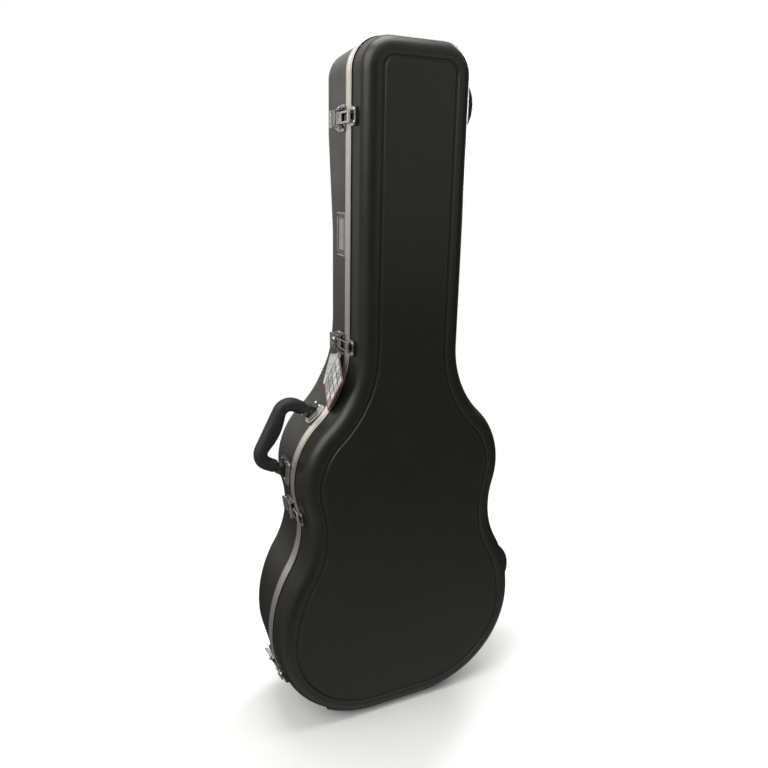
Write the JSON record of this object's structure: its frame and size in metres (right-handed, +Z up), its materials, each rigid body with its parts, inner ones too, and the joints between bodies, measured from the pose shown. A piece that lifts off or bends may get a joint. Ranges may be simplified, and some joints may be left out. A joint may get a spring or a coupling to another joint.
{
  "type": "guitar case",
  "caption": "Hard-shell acoustic guitar case standing on its base: moulded body and hinged lid with metal rims, draw latches, a lock, a side handle and a padded inside.",
  "frame": {"origin": "centre of the standing base, on the floor plane", "axes": "+Z up along the case, -Y out of the lid's front, +Y out of the back, -X on the latch and handle side, +X on the hinge side"},
  "size_m": [0.5261, 0.174, 1.14],
  "materials": {
    "moulded_shell": "fine grained charcoal ABS with a satin sheen",
    "rim_aluminium": "satin extrusion, slightly warm",
    "foam": "closed-cell foam",
    "plush": "short pile plush",
    "ribbon": "woven tape",
    "chrome": "bright plated pressed steel",
    "steel": "zinc plated",
    "grip": "soft moulded vinyl",
    "insert": "blank grey card",
    "paper": "coated card",
    "cord": "thin cord"
  },
  "bodies": {
    "case_body": {"body_shell": "moulded_shell", "body_rim": "rim_aluminium", "body_foam": "foam", "body_lining": "plush", "compartment_walls": "plush", "neck_cradle": "plush", "hinge_body_leaves": "steel", "hinge_pins": "steel", "hinge_body_rivets": "steel", "latch_bases": "chrome", "latch_lever_pins": "chrome", "latch_rivets": "chrome", "handle_brackets": "chrome", "handle_pins": "steel", "handle_rivets": "steel", "nameplate_frame": "chrome", "nameplate_insert": "insert", "nameplate_rivets": "chrome", "hang_tag": "paper", "hang_tag_back": "paper", "tag_cord": "cord"},
    "lid": {"lid_shell": "moulded_shell", "lid_rim": "rim_aluminium", "lid_foam": "foam", "lid_lining": "plush", "hinge_lid_leaves": "steel", "hinge_lid_rivets": "steel", "latch_strikes": "chrome", "strike_rivets": "chrome"},
    "lever_1": {"latch_1_lever": "chrome", "latch_1_bail_pin": "chrome"},
    "bail_1": {"latch_1_bail": "chrome"},
    "lever_2": {"latch_2_lever": "chrome", "latch_2_bail_pin": "chrome", "lock_housing": "chrome"},
    "bail_2": {"latch_2_bail": "chrome"},
    "lever_3": {"latch_3_lever": "chrome", "latch_3_bail_pin": "chrome"},
    "bail_3": {"latch_3_bail": "chrome"},
    "lever_4": {"latch_4_lever": "chrome", "latch_4_bail_pin": "chrome"},
    "bail_4": {"latch_4_bail": "chrome"},
    "lock": {"lock_plug": "steel"},
    "handle": {"handle_grip": "grip", "handle_core": "steel"},
    "accessory_door": {"compartment_door": "plush", "door_pull_tab": "ribbon", "door_hinge_tape": "ribbon"}
  },
  "joints": [
    {"name": "lid_hinge", "type": "hinge", "parent": "case_body", "child": "lid", "pos_m": [0.19614, -0.027, 0.482], "axis": [-0.1612, 0, 0.9869], "range_deg": [0, 120]},
    {"name": "lever_1_pivot", "type": "hinge", "parent": "case_body", "child": "lever_1", "pos_m": [-0.0968, -0.007, 1.028], "axis": [0, 0, 1], "range_deg": [0, 100]},
    {"name": "bail_1_pivot", "type": "hinge", "parent": "lever_1", "child": "bail_1", "pos_m": [-0.096, 0, 1.028], "axis": [0, 0, 1], "range_deg": [-126, 0]},
    {"name": "lever_2_pivot", "type": "hinge", "parent": "case_body", "child": "lever_2", "pos_m": [-0.0968, -0.007, 0.685], "axis": [0, 0, 1], "range_deg": [0, 100]},
    {"name": "bail_2_pivot", "type": "hinge", "parent": "lever_2", "child": "bail_2", "pos_m": [-0.096, 0, 0.685], "axis": [0, 0, 1], "range_deg": [-126, 0]},
    {"name": "lever_3_pivot", "type": "hinge", "parent": "case_body", "child": "lever_3", "pos_m": [-0.18371, -0.007, 0.40231], "axis": [-0.1383, 0, 0.9904], "range_deg": [0, 100]},
    {"name": "bail_3_pivot", "type": "hinge", "parent": "lever_3", "child": "bail_3", "pos_m": [-0.18291, 0, 0.40242], "axis": [-0.1383, 0, 0.9904], "range_deg": [-126, 0]},
    {"name": "lever_4_pivot", "type": "hinge", "parent": "case_body", "child": "lever_4", "pos_m": [-0.22061, -0.007, 0.10495], "axis": [-0.4092, 0, 0.9125], "range_deg": [0, 100]},
    {"name": "bail_4_pivot", "type": "hinge", "parent": "lever_4", "child": "bail_4", "pos_m": [-0.21988, 0, 0.10528], "axis": [-0.4092, 0, 0.9125], "range_deg": [-126, 0]},
    {"name": "lock_turn", "type": "hinge", "parent": "lever_2", "child": "lock", "pos_m": [-0.0978, 0.0152, 0.685], "axis": [-1, 0, 0], "range_deg": [0, 90]},
    {"name": "handle_swing", "type": "hinge", "parent": "case_body", "child": "handle", "pos_m": [-0.17249, 0.008, 0.52344], "axis": [0.454, 0, 0.891], "range_deg": [-62, 62]},
    {"name": "door_hinge", "type": "hinge", "parent": "case_body", "child": "accessory_door", "pos_m": [0, 0.007, 0.82], "axis": [-1, 0, 0], "range_deg": [0, 91]}
  ],
  "couplings": [
    {"joint": "bail_1_pivot", "follows": "lever_1_pivot", "ratio": -1.25},
    {"joint": "bail_2_pivot", "follows": "lever_2_pivot", "ratio": -1.25},
    {"joint": "bail_3_pivot", "follows": "lever_3_pivot", "ratio": -1.25},
    {"joint": "bail_4_pivot", "follows": "lever_4_pivot", "ratio": -1.25},
    {"joint": "door_hinge", "follows": "lid_hinge", "ratio": 0.75}
  ]
}
